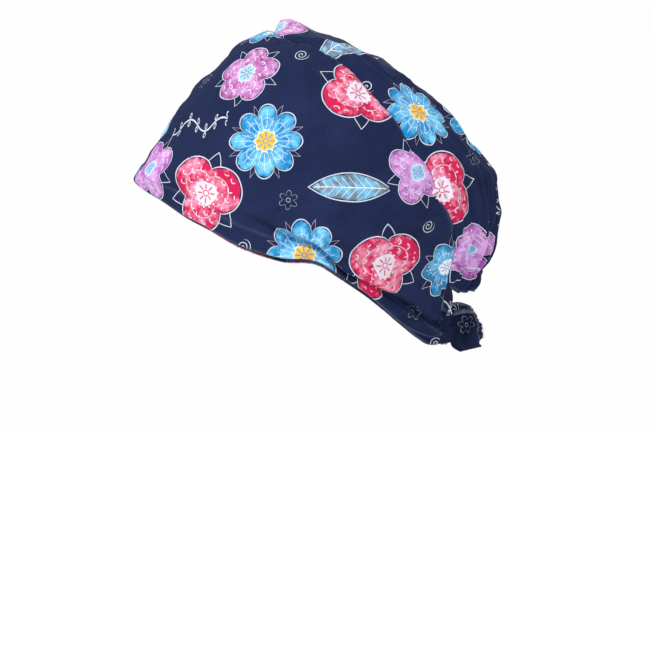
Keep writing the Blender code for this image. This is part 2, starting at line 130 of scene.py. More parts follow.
CROWN_MIDDLE = [
    # along, back, up
    (0.00, 0.452, 0.074), (0.25, 0.462, 0.045), (0.50, 0.478, -0.015),
    (0.75, 0.454, -0.110), (0.90, 0.418, -0.220), (1.00, 0.409, -0.295),
]
CROWN_SEAM_END = 0.905
ELASTIC_SEAM_END = 0.928
CASING_SEAM_END = 0.972

CROWN_FOLDS = [
    # from along, from up, to along, to up, height, width
    (0.16, 0.16, 0.34, 0.50, 1.00, 0.050),
    (-0.12, 0.14, -0.30, 0.56, 0.80, 0.055),
    (0.52, 0.30, 0.40, 0.72, 0.55, 0.060),
    (-0.50, 0.26, -0.42, 0.66, 0.65, 0.055),
    (0.12, 0.45, 0.04, 0.80, 0.40, 0.050),
    (0.24, 0.20, 0.50, 0.36, 0.45, 0.022),
    (-0.22, 0.22, -0.46, 0.40, 0.40, 0.024),
    (0.02, 0.52, 0.16, 0.86, 0.40, 0.020),
    (0.42, 0.05, 0.48, 0.30, 0.55, 0.022),
    (0.64, 0.22, 0.55, 0.66, 0.55, 0.026),
    (0.74, 0.34, 0.66, 0.78, 0.50, 0.024),
    (0.34, 0.42, 0.30, 0.82, 0.45, 0.026),
    (-0.40, 0.06, -0.50, 0.32, 0.50, 0.022),
    (-0.66, 0.30, -0.58, 0.72, 0.55, 0.026),
    (-0.30, 0.48, -0.26, 0.84, 0.45, 0.026),
]
FRONT_FOLDS = [
    # from along, from up, to along, to up, height, width
    (0.60, 0.30, 0.92, 0.55, 0.60, 0.060),
    (-0.58, 0.26, -0.90, 0.60, 0.70, 0.060),
    (0.72, 0.62, 0.95, 0.86, 0.45, 0.050),
    (-0.70, 0.66, -0.94, 0.82, 0.40, 0.050),
    (0.20, 0.90, 0.42, 0.60, 0.30, 0.070),
    (-0.16, 0.92, -0.40, 0.66, 0.35, 0.070),
    (0.50, 0.22, 0.74, 0.34, 0.40, 0.026),
    (0.66, 0.30, 0.90, 0.40, 0.45, 0.022),
    (-0.52, 0.24, -0.80, 0.34, 0.40, 0.026),
    (-0.70, 0.36, -0.92, 0.46, 0.40, 0.022),
]
EAR_CREASE = [
    # along, length up from the head edge at which the tight hem creases the panel
    (0.00, 0.0215), (0.40, 0.0210), (0.52, 0.0200), (0.62, 0.0155), (0.70, 0.0095),
    (0.77, 0.0100), (0.85, 0.0125), (0.93, 0.0155), (1.00, 0.0185),
]
TURNED_UNDER = [
    # along, how much of the hem folds under itself before the knot
    (0.00, 0.0000), (0.88, 0.0000), (0.92, 0.0030), (0.95, 0.0052), (0.975, 0.0080),
    (1.00, 0.0098),
]
TIE_ENDS = {
    # down, then front edge and back edge, each as back from the knot and up from its middle
    1: [
        (0.00, -0.0015, 0.0062, 0.0125, 0.0088), (0.20, -0.0020, 0.0000, 0.0150, 0.0035),
        (0.45, -0.0018, -0.0066, 0.0162, -0.0025), (0.70, -0.0028, -0.0128, 0.0163, -0.0085),
        (0.86, -0.0010, -0.0165, 0.0172, -0.0128), (1.00, 0.0040, -0.0195, 0.0178, -0.0161),
    ],
    -1: [
        (0.00, -0.0018, 0.0138, 0.0126, 0.0103), (0.25, -0.0020, 0.0060, 0.0168, 0.0040),
        (0.55, -0.0020, -0.0030, 0.0198, -0.0030), (0.80, -0.0010, -0.0100, 0.0200, -0.0090),
        (1.00, 0.0030, -0.0158, 0.0168, -0.0140),
    ],
}
# Uneven cloth: waves that run over a sheet, in metres
RIPPLES = [
    # length along, length across, turn, height, and whether it is a narrow ridge
    (0.061, 0.043, 0.3, 0.00024, False),
    (-0.083, 0.029, 1.9, 0.00022, False),
    (0.037, 0.051, 4.1, 0.00015, False),
    (0.024, -0.033, 2.6, 0.00010, False),
    (-0.017, 0.021, 5.2, 0.00006, False),
    (0.140, 0.013, 0.9, 0.00008, False),
    (0.118, -0.092, 1.2, 0.00042, True),
    (-0.071, -0.150, 3.7, 0.00036, True),
]


def cubic_through(stations, values, at):
    """A cubic from row to row, with each row's slope taken from the rows beside it."""
    stations = np.asarray(stations, float)
    values = np.asarray(values, float)
    slopes = np.gradient(values, stations, axis=0)
    row = np.clip(np.searchsorted(stations, at, side="right") - 1, 0, len(stations) - 2)
    step = stations[row + 1] - stations[row]
    share = (at - stations[row]) / step
    if values.ndim > 1:
        share, step = share[..., None], step[..., None]
    rest = 1 - share
    ends = values[row] * (1 + 2 * share) * rest**2 + values[row + 1] * (3 - 2 * share) * share**2
    bends = slopes[row] * step * share * rest**2 - slopes[row + 1] * step * share**2 * rest
    return ends + bends


def ramp(value, low, high):
    """0 below low, 1 above high, smooth between."""
    share = np.clip((value - low) / (high - low), 0, 1)
    return share * share * (3 - 2 * share)


def bell(value, middle, width):
    """1 at the middle, dying away over the width."""
    return np.exp(-(((value - middle) / width) ** 2))


def unit(vectors):
    """Each vector at length 1."""
    return vectors / np.maximum(np.linalg.norm(vectors, axis=-1, keepdims=True), 1e-12)


def outline_reach(bearing):
    """How far the side outline lies from the body's middle. Bearing 0 is back."""
    rows = np.array(OUTLINE) * (CAP_LENGTH, CAP_HEIGHT)
    turns = np.unwrap(np.arctan2(rows[:, 1], rows[:, 0]))
    turns = turns - 2 * math.pi * round(turns[0] / (2 * math.pi))
    reach = np.hypot(rows[:, 0], rows[:, 1])
    around = np.concatenate([turns - 2 * math.pi, turns, turns + 2 * math.pi])
    return cubic_through(around, np.tile(reach, 3), np.asarray(bearing, float))


def on_body(way):
    """The body's point along each way: outline reach back and up, half width across."""
    reach = outline_reach(np.arctan2(way[..., 2], way[..., 1]))
    back = way[..., 1] * reach
    up = way[..., 2] * reach
    nape = ramp(back / CAP_LENGTH, 0.02, 0.40) * ramp(-up / CAP_HEIGHT, 0.12, 0.50)
    across = way[..., 0] * CAP_WIDTH / 2 * (1 - NAPE_DRAW * nape)
    return np.stack([across, back + MIDDLE_BACK, up + MIDDLE_UP], -1)


def curve_ways(table, along):
    """A table's curve as ways, for along from -1 (right) to 1 (left)."""
    rows = np.array(table)[:, 1:] * (CAP_LENGTH, CAP_HEIGHT)
    share = np.hypot(rows[:, 0], rows[:, 1]) / outline_reach(np.arctan2(rows[:, 1], rows[:, 0]))
    share[0] = 1.0
    flat = rows / np.hypot(rows[:, 0], rows[:, 1])[:, None]
    share = np.minimum(share, 1.0)
    left = np.column_stack([np.sqrt(1 - share**2), flat[:, 0] * share, flat[:, 1] * share])
    stations = np.array(table)[:, 0]
    right = left[:0:-1] * (-1, 1, 1)
    both = np.concatenate([-stations[:0:-1], stations])
    return unit(cubic_through(both, np.concatenate([right, left]), along))


def step_toward(ways, target, length):
    """Each way moved over the body toward the target way by a length."""
    turn = np.arccos(np.clip((ways * target).sum(-1), -1, 1))[..., None]
    share = np.minimum(length / (CAP_LENGTH / 2) / np.maximum(turn, 1e-6), 1)
    return unit(ways * (1 - share) + target * share)


def beside(ways, length):
    """A curve of ways moved sideways over the body, toward the crown."""
    sideways = unit(np.cross(ways, np.gradient(ways, axis=0)))
    return unit(ways + sideways * length / (CAP_LENGTH / 2))


def ribs_through(start, middle, end, shares):
    """Ribs that pass a middle curve half-way, each a parabola of ways."""
    share = shares[..., None]
    first = 2 * (0.5 - share) * (1 - share)
    half = 4 * share * (1 - share)
    last = 2 * share * (share - 0.5)
    return unit(first * start[:, None] + half * middle[:, None] + last * end[:, None])


def ribs(start, end, shares):
    """Great-circle arcs from each start way to its end way, with a row of shares a rib."""
    turn = np.maximum(np.arccos(np.clip((start * end).sum(-1), -1, 1))[:, None], 1e-6)
    first = np.sin((1 - shares) * turn) / np.sin(turn)
    second = np.sin(shares * turn) / np.sin(turn)
    return first[..., None] * start[:, None] + second[..., None] * end[:, None]


def normals_of(points):
    """Unit normals of a sheet of points, pointing out of the body."""
    normal = unit(np.cross(np.gradient(points, axis=0), np.gradient(points, axis=1)))
    return normal * np.sign(((points - MIDDLE) * normal).sum())


def outward(points, side):
    """A sheet's normals, but straight out from the middle where its end ribs are too short."""
    normals = normals_of(points)
    straight = unit(points - MIDDLE)
    return unit(normals + (straight - normals) * ramp(side, 0.87, 0.93)[..., None])


def lengths_along(points):
    """The length from the start of a path, or of each rib of a sheet, to each of its points."""
    steps = np.linalg.norm(np.diff(points, axis=-2), axis=-1)
    return np.concatenate([np.zeros_like(steps[..., :1]), np.cumsum(steps, axis=-1)], axis=-1)


def at_lengths(values, run, at):
    """What a path's points or normals are at the lengths asked for."""
    return np.stack([np.interp(at, run, column) for column in values.T], -1)


def trimmed_shares(start, end, spacing, trim_start, trim_end):
    """Shares along each rib, kept a length clear of the curves that it runs between."""
    whole = on_body(ribs(start, end, np.tile(np.linspace(0, 1, 33), (len(start), 1))))
    length = lengths_along(whole)[:, -1:]
    low = trim_start / length
    high = 1 - trim_end / length
    return low + (high - low) * spacing[None]


def distance_to(points, curve):
    """How far each point lies from the nearest point of a curve, worked out in strips."""
    flat = points.reshape(-1, 3)
    strips = np.array_split(flat, 40)
    apart = [np.sqrt(((s[:, None] - curve[None]) ** 2).sum(-1).min(axis=1)) for s in strips]
    return np.concatenate(apart).reshape(points.shape[:2])


def folds(table, along, spacing):
    """Each fold is a ridge about a line, dying at its ends, in shares of the panel."""
    height = np.zeros((len(along), len(spacing)))
    place = np.stack(np.broadcast_arrays(along[:, None], spacing[None]), -1)
    for from_along, from_up, to_along, to_up, share, width in table:
        first = np.array((from_along, from_up))
        line = np.array((to_along, to_up)) - first
        run = ((place - first) * line).sum(-1) / (line @ line)
        apart = np.abs((place - first) @ np.array((-line[1], line[0]))) / math.hypot(*line)
        lasting = ramp(run, -0.25, 0.3) * (1 - ramp(run, 0.7, 1.25))
        height += share * bell(apart, 0, width) * lasting
    return height * FOLD_DEPTH


def ripples(metres, extra=1.0):
    """Low waves that cross each other, and a few narrow ridges: cloth that has seen wear."""
    height = np.zeros(metres.shape[:2])
    for long, wide, turn, depth, ridge in RIPPLES:
        bend = 0.9 * np.sin(metres[..., 0] / 0.047 + turn) + 0.7 * np.sin(metres[..., 1] / 0.031)
        phase = 2 * math.pi * (metres[..., 0] / long + metres[..., 1] / wide)
        wave = np.sin(phase + bend + turn)
        height += depth * extra * (0.45 - np.abs(wave) ** 0.6 if ridge else wave)
    return height


def cloth_metres(points):
    """Where each point lies on the flat cloth: across the sheet, and up its ribs."""
    across = lengths_along(points[:, points.shape[1] // 2])
    across = across - across[-1] / 2
    up = lengths_along(points)
    return np.stack([np.broadcast_to(across[:, None], up.shape), up], -1)


def seam_dive(from_seam):
    """A sewn seam draws the cloth inwards, most at the stitches."""
    return -SEAM_VALLEY * np.exp(-from_seam / VALLEY_WIDTH)


def puckers(run, from_seam):
    """Small gathers along a seam, drawn by its thread and gone a centimetre away."""
    wave = np.sin(2 * math.pi * run / PUCKER_PITCH + 1.7 * np.sin(run / 0.023))
    return PUCKER * wave * bell(from_seam, 0.004, 0.0045)


def turned_under(along):
    """How much of the hem lies folded under near the knot, and how far that fold has set in."""
    table = np.array(TURNED_UNDER)
    width = np.interp(np.abs(along), table[:, 0], table[:, 1])
    return width[:, None], ramp(np.abs(along), 0.885, 0.935)[:, None]


def front_cloth(along, rows):
    """The front panel: ribs from head edge to top seam, puffed over the tight hem.

    Each point is the body's own, raised along the normal by hem layer, puff, soft folds,
    gathers toward the ties, puckers beside the seam and ripples.
    """
    start = curve_ways(HEAD_EDGE, along)
    end = curve_ways(CROWN_SEAM, along)
    spacing = np.linspace(0, 1, rows + 1) ** 1.3
    points = on_body(ribs(start, end, trimmed_shares(start, end, spacing, 0.0, SEAM_GAP / 2)))
    up = lengths_along(points)
    metres = cloth_metres(points)
    side = np.abs(along)[:, None]
    wander = 0.0010 * np.sin(metres[..., 0] / 0.019) + 0.0006 * np.sin(metres[..., 0] / 0.0071 + 1)
    table = np.array(EAR_CREASE)
    tuck = cubic_through(table[:, 0], table[:, 1], np.abs(along))[:, None]
    tuck = tuck + wander * ramp(side, 0.3, 0.6)
    fade = 1 - ramp(up / up[:, -1:], 0.45, 1.0)
    tight = ramp(side, 0.955, 1.0)
    puffed = ramp(side, 0.36, 0.60)
    lift = HEM_PUFF * 1.40 * puffed * ramp(up, tuck - 0.0008, tuck + 0.0046) * fade * (1 - tight)
    uneven = 1 + 0.35 * np.sin(metres[..., 0] / 0.0135 + 0.8)
    crease = -CREASE_DEPTH * puffed * bell(up, tuck - 0.0006, 0.0021) * (1 - 0.6 * tight) * uneven
    turned, turning = turned_under(along)
    crease = crease - 0.0027 * turning * (1 - ramp(up, turned - 0.0010, turned + 0.0003))
    soft = folds(FRONT_FOLDS, along, spacing) * ramp(up, tuck, tuck * 2) * fade
    hem = 0.00045 * (1 - ramp(up, 0.0128, 0.0146)) * ramp(up, 0, 0.0008)
    stitched = -0.00040 * bell(up, HEM_STITCHES, 0.0007)
    drawn = ramp(side, 0.72, 1.0) ** 1.5
    run = up / up[:, -1:]
    pleat_turn = math.pi * (3.6 * run + 0.35 * np.sin(6 * side)) + 0.5 * np.sign(along)[:, None]
    pleat_lines = 2 * np.sqrt(np.cos(pleat_turn) ** 2 + 0.03) - 1.3
    gathers = 0.0013 * drawn * pleat_lines * ramp(run, 0.12, 0.30)
    from_seam = up[:, -1:] - up
    small = puckers(metres[..., 0], from_seam) + ripples(metres, 1.7 + 1.5 * ramp(side, 0.4, 0.8))
    raised = lift + crease + soft + hem + stitched + gathers + small * ramp(up, 0, 0.006)
    raised = raised + seam_dive(from_seam) * OVER_SEAM
    return points + normals_of(points) * raised[..., None]


def gather_waves(along, count=GATHERS, shift=0.4):
    """The gathers across the back: rounded tops and narrow valleys, unevenly crowded."""
    turn = math.pi * count * along + 0.3 * np.sin(3.1 * math.pi * along + shift)
    waves = 2 * np.sqrt(np.cos(turn / 2) ** 2 + 0.02) - 1.2
    return (waves * (1 - ramp(np.abs(along), 0.82, 0.97)))[:, None]


def lower_curves(along):
    """The elastic line and the casing's edge, ending tucked under the front panel's edge."""
    seam_ends = curve_ways(CROWN_SEAM, np.array((ELASTIC_SEAM_END, CASING_SEAM_END)))
    curves = []
    for table, seam_end in ((ELASTIC_LINE, seam_ends[0]), (CASING_EDGE, seam_ends[1])):
        curve = curve_ways(table, along)
        last = curve_ways(table, np.array((1.0,)))[0]
        near = ramp(np.abs(along), 0.55, 1.0)[:, None]
        ending = ramp(np.abs(along), 0.84, 0.99)[:, None, None]
        mirror = np.where(along[:, None] < 0, (-1.0, 1.0, 1.0), (1.0, 1.0, 1.0))
        curve = unit(curve + (seam_end - last) * mirror * near)
        length = SEAM_GAP * 5 * (1 - ending[:, 0]) - END_TUCK * ending[:, 0]
        curves.append(step_toward(curve, curve_ways(table, np.array((0.0,))), length))
    return curves


def crown_cloth(along, rows, tuck_rows):
    """The crown: ribs from the top seam over the back of the head to the elastic.

    Raised by the peak pleat, the puff over the seam, pleats, soft folds and the gathers that
    the elastic draws in. Its first rows are the seam allowance under the front panel.
    """
    middle = curve_ways(CROWN_MIDDLE, along)
    seam_ways = curve_ways(CROWN_SEAM, along * CROWN_SEAM_END)
    start = beside(seam_ways, SEAM_GAP)
    end = lower_curves(along)[0]
    even = np.linspace(0, 1, rows + 1)
    spacing = even - 0.5 * np.sin(2 * math.pi * even) / (2 * math.pi)
    shares = trimmed_shares(start, end, spacing, 0.0, 0.0)
    points = on_body(ribs_through(start, middle, end, shares))
    seam = on_body(curve_ways(CROWN_SEAM, np.linspace(-1, 1, 401)))
    side = np.abs(along)[:, None]
    from_seam = distance_to(points, seam)
    up = lengths_along(points)
    metres = cloth_metres(points)
    top = 1 - ramp(side, 0.40, 0.90)
    edge = ramp(from_seam, 0, CROWN_PUFF * 2.2)
    near_seam = edge * (1 - ramp(from_seam, CROWN_PUFF * 3, CROWN_PUFF * 15))
    puff = CROWN_PUFF * top * near_seam * (1 - 0.8 * bell(side, 0, 0.14))
    peak = PEAK_RISE * bell(side, 0.0, 0.09) * edge
    peak = peak * (1 - ramp(from_seam, PEAK_RISE * 2, PEAK_RISE * 6))
    pleats = PLEAT_DEPTH * np.cos(math.pi * PLEATS * along + 0.5)[:, None] * near_seam
    pleats = pleats * (1 - ramp(side, 0.16, 0.36))
    from_elastic = up[:, -1:] - up
    drawn = 1 - ramp(from_elastic, GATHER_REACH * 0.2, GATHER_REACH)
    pinched = GATHER_PINCH + (1 - GATHER_PINCH) * ramp(from_elastic, 0, GATHER_REACH * 0.2)
    waves = gather_waves(along) - 0.6 * (1 - ramp(side, 0.82, 0.97))
    gathers = GATHER_DEPTH * waves * drawn**1.5
    far_end = 1 - ramp(from_elastic, GATHER_REACH * 0.6, GATHER_REACH * 2.1)
    long_folds = LONG_FOLDS * waves * far_end
    short = 1 - ramp(from_elastic, 0, GATHER_REACH * 0.55)
    fine = 0.00075 * gather_waves(along + 0.02 * np.sin(9 * along), 25, 1.3) * short
    small = puckers(metres[..., 0], from_seam) + ripples(metres, 2.0)
    raised = puff + peak + pleats + folds(CROWN_FOLDS, along, spacing) * edge
    raised = raised + (gathers + fine) * pinched + small * ramp(from_seam, 0, 0.006)
    raised = raised + long_folds * edge * ramp(from_elastic, 0, GATHER_REACH * 0.3)
    raised = raised - END_SINK * ramp(side, 0.90, 0.985) * ramp(up, 0.0, 0.002)
    raised = raised + seam_dive(from_seam) * UNDER_SEAM
    raised = raised + seam_dive(from_elastic) * (1 - ramp(side, 0.9, 1))
    points = points + outward(points, side) * raised[..., None]
    inward = -outward(points, side)[:, :1]
    under = []
    for share in np.linspace(1, 0, tuck_rows, endpoint=False):
        tucked = on_body(beside(seam_ways, -SEAM_TUCK * share))
        depth = SEAM_VALLEY * UNDER_SEAM + CLOTH * 1.6 * ramp(share, 0, 0.35)
        under.append(tucked[:, None] + inward * depth)
    return np.concatenate([*under, points], axis=1)


def casing_cloth(along, rows, meet):
    """The casing: goes on from the crown's last row, bows out over the elastic and ruffles."""
    start, end = lower_curves(along)
    side = np.abs(along)[:, None]
    spacing = np.linspace(0, 1, rows + 1)
    points = on_body(ribs(start, end, trimmed_shares(start, end, spacing, 0.0, 0.0)))
    up = lengths_along(points)
    across = up / up[:, -1:]
    bow = CASING_SWELL * np.sin(math.pi * across) ** 1.2 * (1 - ramp(side, 0.7, 1.0))
    waves = gather_waves(along) - 0.6 * (1 - ramp(side, 0.82, 0.97))
    ruffle = GATHER_DEPTH * waves * (GATHER_PINCH + 0.2 * ramp(across, 0, 1))
    close = gather_waves(along + 0.015 * np.sin(14 * along), 27, 2.1)
    fine = 0.00080 * close * (0.45 + 0.55 * np.sin(math.pi * across))
    metres = cloth_metres(points)
    raised = bow + ruffle + fine + ripples(metres, 0.7) - END_SINK * ramp(side, 0.90, 0.985)
    points = points + outward(points, side) * raised[..., None]
    return points + (meet - points[:, 0])[:, None] * ((1 - across) ** 2)[..., None]


def knot_way(turn, climb):
    """The way out of the knot at a turn, where 0 is the wearer's left, and a climb."""
    parts = np.cos(turn) * np.cos(climb), np.sin(turn) * np.cos(climb), np.sin(climb)
    return np.stack(np.broadcast_arrays(*parts), -1)


def knot_surface(way, clear):
    """A point of the knot's bare ellipsoid, grown by a clearance."""
    half = np.array((KNOT_WIDTH, KNOT_DEPTH, KNOT_HEIGHT)) / 2 + clear
    return np.array((0.0, KNOT_BACK, -KNOT_DOWN)) + way * half


def knot_cloth(around, rows):
    """The half knot: one tie wound over the other.

    A slanting band about a great circle stands proud, with folds along it. On both sides of
    it the other tie runs in underneath, with folds that fan out from the band's two poles.
    """
    turn = np.linspace(0, 2 * math.pi, around + 1)[:, None]
    climb = np.linspace(-0.5 * math.pi, 0.5 * math.pi, rows + 1)[None]
    way = knot_way(turn, climb)
    axes = np.linalg.qr(np.array([(0.50, 0.28, 0.82), (0.0, 1.0, 0.0), (1.0, 0.0, 0.0)]).T)[0]
    off, one, two = np.moveaxis(way @ axes, -1, 0)
    round_band = np.arctan2(two, one)
    off = off + 0.06 * np.sin(2 * round_band)
    band = 1 - ramp(np.abs(off), 0.40, 0.50)
    along_band = np.abs(np.sin(9.5 * off + 0.5 * np.sin(2 * round_band))) ** 0.5
    fanned = np.abs(np.sin(4 * round_band + 2.2 * off)) ** 0.5
    grown = band * (0.0014 - 0.0007 * (1 - along_band)) - (1 - band) * 0.0013 * (1 - fanned)
    grown = grown - 0.0006 * bell(np.abs(off), 0.50, 0.05)
    return knot_surface(way, (grown + 0.0004)[..., None])


def tie_cloth(panel, side, rows, across):
    """A tie: comes from under the panel's end and its top edge, and is drawn into the knot.

    Each line along it is a parabola from the panel to the knot, bulging back, and its pleats
    deepen on the way.
    """
    inner = panel - normals_of(panel) * CLOTH * 1.5
    ends = inner[::-1] if side > 0 else inner
    # up a rib close to the panel's end, then forward along a row under its top seam
    from_under = np.concatenate([ends[3, :-9], ends[4:14, -9]])
    run = lengths_along(from_under)
    first = at_lengths(from_under, run, np.linspace(0, run[-1], across + 1))
    up = np.linspace(0, 1, across + 1)
    climb = (-0.36 + 0.77 * up) * math.pi
    turn = (0.5 - side * (0.56 - 0.34 * up)) * math.pi
    end = knot_surface(knot_way(turn, climb), 0.0)
    bulge = end - first
    middle = first + bulge * (0.45, 1.0, 0.85)
    middle[:, 1] += 0.0010 + 0.0060 * up
    share = np.linspace(0, 1, rows + 1)[:, None, None]
    points = first * (1 - share) ** 2 + 2 * middle * share * (1 - share) + end * share**2
    pleat_turn = math.pi * (4.3 * up[None] + 0.25 * share[..., 0]) + side
    pleat = 2 * np.abs(np.sin(pleat_turn)) ** 0.6 - 1.2
    depth = 0.0010 * ramp(share[..., 0], 0.05, 0.6)
    return points + normals_of(points) * (pleat * depth)[..., None]


def tie_end_cloth(side, rows, columns):
    """A loose tie end: comes out of the knot, fans backward and hangs, its top edge rolled.

    Lines run from its front edge to its back edge, both from the table. It leans out to its
    own side and curls. The roll is an arc about the top edge, and the cut edge is ragged.
    """
    table = np.array(TIE_ENDS[side])
    along = np.linspace(0, 1, rows + 1)
    edges = cubic_through(table[:, 0], table[:, 1:], along).T[..., None]
    front_y, front_z, back_y, back_z = edges
    along = along[:, None]
    across = np.linspace(0, 1, columns + 1)[None]
    ragged = np.sin(19 * along + side) + 0.6 * np.sin(47 * along) + 0.5 * np.sin(101 * along)
    ragged = ragged * 0.0005 * ramp(across, 0.86, 1.0)
    lean = 0.24 + 0.76 * ramp(0.60 * across + 0.70 * along, 0.0, 0.9)
    curl = 1 + 0.30 * np.sin(5.2 * across + 3 * along + side)
    curl = curl + 0.10 * np.sin(13 * across - 4 * along) * ramp(along, 0.2, 0.6)
    x = side * TIE_END_SPREAD * lean * curl + 0.0004 * np.sin(17 * across + 5 * along)
    y = KNOT_BACK + KNOT_DEPTH / 2 + front_y * (1 - across) + back_y * across + ragged
    bow = 0.0012 * np.sin(math.pi * across) * (1 - along)
    z = front_z * (1 - across) + back_z * across + bow - KNOT_DOWN
    hanging = np.stack([x + 0 * along, y, z], -1)
    arc = np.linspace(1.45, 0, ROLL_ROWS)[:-1, None] * math.pi
    radius = (0.0011 + 0.0004 * across) * ramp(across, -0.3, 0.3)
    out = side * radius * (1 - np.cos(arc))
    rolled = hanging[:1] + np.stack([out, 0 * out, radius * np.sin(arc)], -1)
    return np.concatenate([rolled, hanging])


# The print: flowers, leaves and sprigs on navy, each drawn in its own circle. The numbers are
# petals, the outline's base and swing in circle radii and how sharp that swing is, the heart's
# radius, then how strong each kind of mark, the fill and the dusk in it are. A motif with veins
# has a lens for its outline, whatever its petals.
FLOWERS = [
    # name, petals, base, swing, sharp, heart, strokes, rays, swirl, vine, fill, sepals, veins, dusk
    ("blossom", 5, 0.56, 0.28, 0.7, 0.21, 1.0, 0.0, 0.0, 0.0, 1.0, 1.0, 0.0, 0.30),
    ("poppy", 3, 0.55, 0.33, 0.8, 0.24, 0.9, 0.0, 0.0, 0.0, 1.0, 1.0, 0.0, 0.55),
    ("daisy", 8, 0.56, 0.34, 0.6, 0.23, 0.0, 1.0, 0.0, 0.0, 1.0, 0.6, 0.0, 0.35),
    ("leaf", 2, 0.34, 0.62, 3.0, 0.00, 0.0, 0.0, 0.0, 0.0, 1.0, 0.0, 1.0, 0.45),
    ("lilac_cup", 4, 0.54, 0.34, 1.1, 0.18, 0.9, 0.0, 0.0, 0.0, 1.0, 1.0, 0.0, 0.25),
    ("bellflower", 6, 0.60, 0.24, 1.4, 0.19, 0.5, 1.0, 0.0, 0.0, 1.0, 0.8, 0.0, 0.45),
    ("vine", 2, 0.20, 0.05, 1.0, 0.00, 0.0, 0.0, 0.0, 1.0, 0.0, 0.0, 0.0, 0.0),
    ("sprig", 6, 0.45, 0.45, 1.2, 0.16, 0.0, 0.0, 0.0, 0.0, 0.0, 0.0, 0.0, 0.0),
    ("swirl", 3, 0.20, 0.05, 1.0, 0.00, 0.0, 0.0, 1.0, 0.0, 0.0, 0.0, 0.0, 0.0),
]
PAINTS = [
    # name, radius, room round it, liking, pale, deep, heart, family of colour
    ("blossom", 0.0275, 0.0265, 1.0, "#D7A0DA", "#A2488F", "#9CD8EC", 0),
    ("poppy", 0.0300, 0.0285, 1.0, "#F2A6C4", "#CC2355", "#E9DDEC", 1),
    ("daisy", 0.0275, 0.0265, 1.0, "#7CCDF0", "#1F84C2", "#F4BE3C", 2),
    ("leaf", 0.0270, 0.0240, 0.7, "#79C9EE", "#6E7787", "#DDE6F0", 3),
    ("lilac_cup", 0.0255, 0.0245, 1.0, "#D9A8E0", "#A95BB2", "#8ED0EA", 0),
    ("bellflower", 0.0250, 0.0245, 1.0, "#63BBE6", "#2C7FB4", "#E8EAF4", 2),
    ("vine", 0.0270, 0.0210, 0.42, "#FFFFFF", "#FFFFFF", "#FFFFFF", 4),
    ("sprig", 0.0070, 0.0125, 1.0, "#FFFFFF", "#FFFFFF", "#FFFFFF", 5),
    ("swirl", 0.0055, 0.0125, 1.0, "#FFFFFF", "#FFFFFF", "#FFFFFF", 6),
]
LARGE = (0, 1, 2, 3, 4, 5, 6)
SMALL = (7, 8)
LINES_ONLY = (6, 7, 8)
LAID = []  # centre and kind of each motif so far, so that the next sheet's differ beside them
MOTIF_LEVEL = 0.003  # the cloth this near a motif's centre sets its plane
CORNER_SLANT = 0.25  # ribs that a bare corner gives up for each row above its sheet's lower edge
CANDIDATES = 5000
PRINT_PARTS = (
    # face corner attribute, and its three numbers: the place in the circle, then FLOWERS' own
    ("motif_place", ("x", "y", "petals")),
    ("motif_form", ("base", "swing", "sharp")),
    ("motif_marks", ("heart", "strokes", "rays")),
    ("motif_lines", ("swirl", "vine", "fill")),
    ("motif_more", ("sepals", "veins", "dusk")),
)
PRINT_TINTS = ("motif_pale", "motif_deep", "motif_heart")


def linear(code):
    """A hex sRGB colour as linear red, green, blue."""
    value = np.array([int(code[i : i + 2], 16) for i in (1, 3, 5)]) / 255
    return np.where(value <= 0.04045, value / 12.92, ((value + 0.055) / 1.055) ** 2.4)


def lay_print(points, seed, kinds_used, bare_ends):
    """Where the motifs lie on a sheet: centre, kind and turn of each.

    Points of the sheet are taken in a seeded order, and one is kept if it lies clear of all
    kept before it. Its kind is the one whose own colours are furthest off, on this sheet and
    on those beside it. Large motifs come first, and small ones fill the room that is left.
    The sheet's two lower corners, where it is drawn together, take no large motif, as many
    ribs in as bare_ends says.
    """
    draw = np.random.default_rng(seed)
    flat = points.reshape(-1, 3)
    order = draw.permutation(len(flat))[:CANDIDATES]
    rooms = np.array([row[2] for row in PAINTS])
    liking = np.array([row[3] for row in PAINTS])
    family = np.array([row[7] for row in PAINTS])
    centres, kinds = [], []
    around = [centre for centre, _ in LAID]
    around_kinds = [kind for _, kind in LAID]
    for group in kinds_used:
        for index in order:
            column, row = divmod(index, points.shape[1])
            from_corner = min(column, len(points) - 1 - column) + CORNER_SLANT * row
            if group is LARGE and from_corner < bare_ends:
                continue
            far = np.full(len(PAINTS), 1.0)
            if around:
                apart = np.linalg.norm(np.array(around) - flat[index], axis=1)
                np.minimum.at(far, family[around_kinds], apart)
            wish = (far[family] * liking)[list(group)] + 0.012 * draw.random(len(group))
            kind = group[int(wish.argmax())]
            away = np.linalg.norm(np.array(centres or [(9.0, 9.0, 9.0)]) - flat[index], axis=1)
            if (away < rooms[np.array(kinds or [0])] + rooms[kind]).any():
                continue
            centres.append(flat[index])
            kinds.append(kind)
            around.append(flat[index])
            around_kinds.append(kind)
    LAID.extend(zip(centres, kinds))
    return np.array(centres), np.array(kinds), draw.random(len(kinds)) * 2 * math.pi


def lay_motifs(points, kinds_used, seed, bare_ends=0):
    """The motifs laid on a sheet: centre, kind, and the two axes of the cloth's plane there.

    The plane is square to the mean normal of the cloth close to the centre. The axes lie in it,
    turned by the motif's own turn.
    """
    centres, kinds, turns = lay_print(points, seed, kinds_used, bare_ends)
    apart = np.linalg.norm(points.reshape(-1, 1, 3) - centres[None], axis=-1)
    out = unit((apart < MOTIF_LEVEL).T @ normals_of(points).reshape(-1, 3))
    level = unit(np.cross(out, (0.0, 0.35, 1.0)))
    upward = np.cross(level, out)
    one = level * np.cos(turns)[:, None] + upward * np.sin(turns)[:, None]
    two = upward * np.cos(turns)[:, None] - level * np.sin(turns)[:, None]
    return centres, kinds, one, two


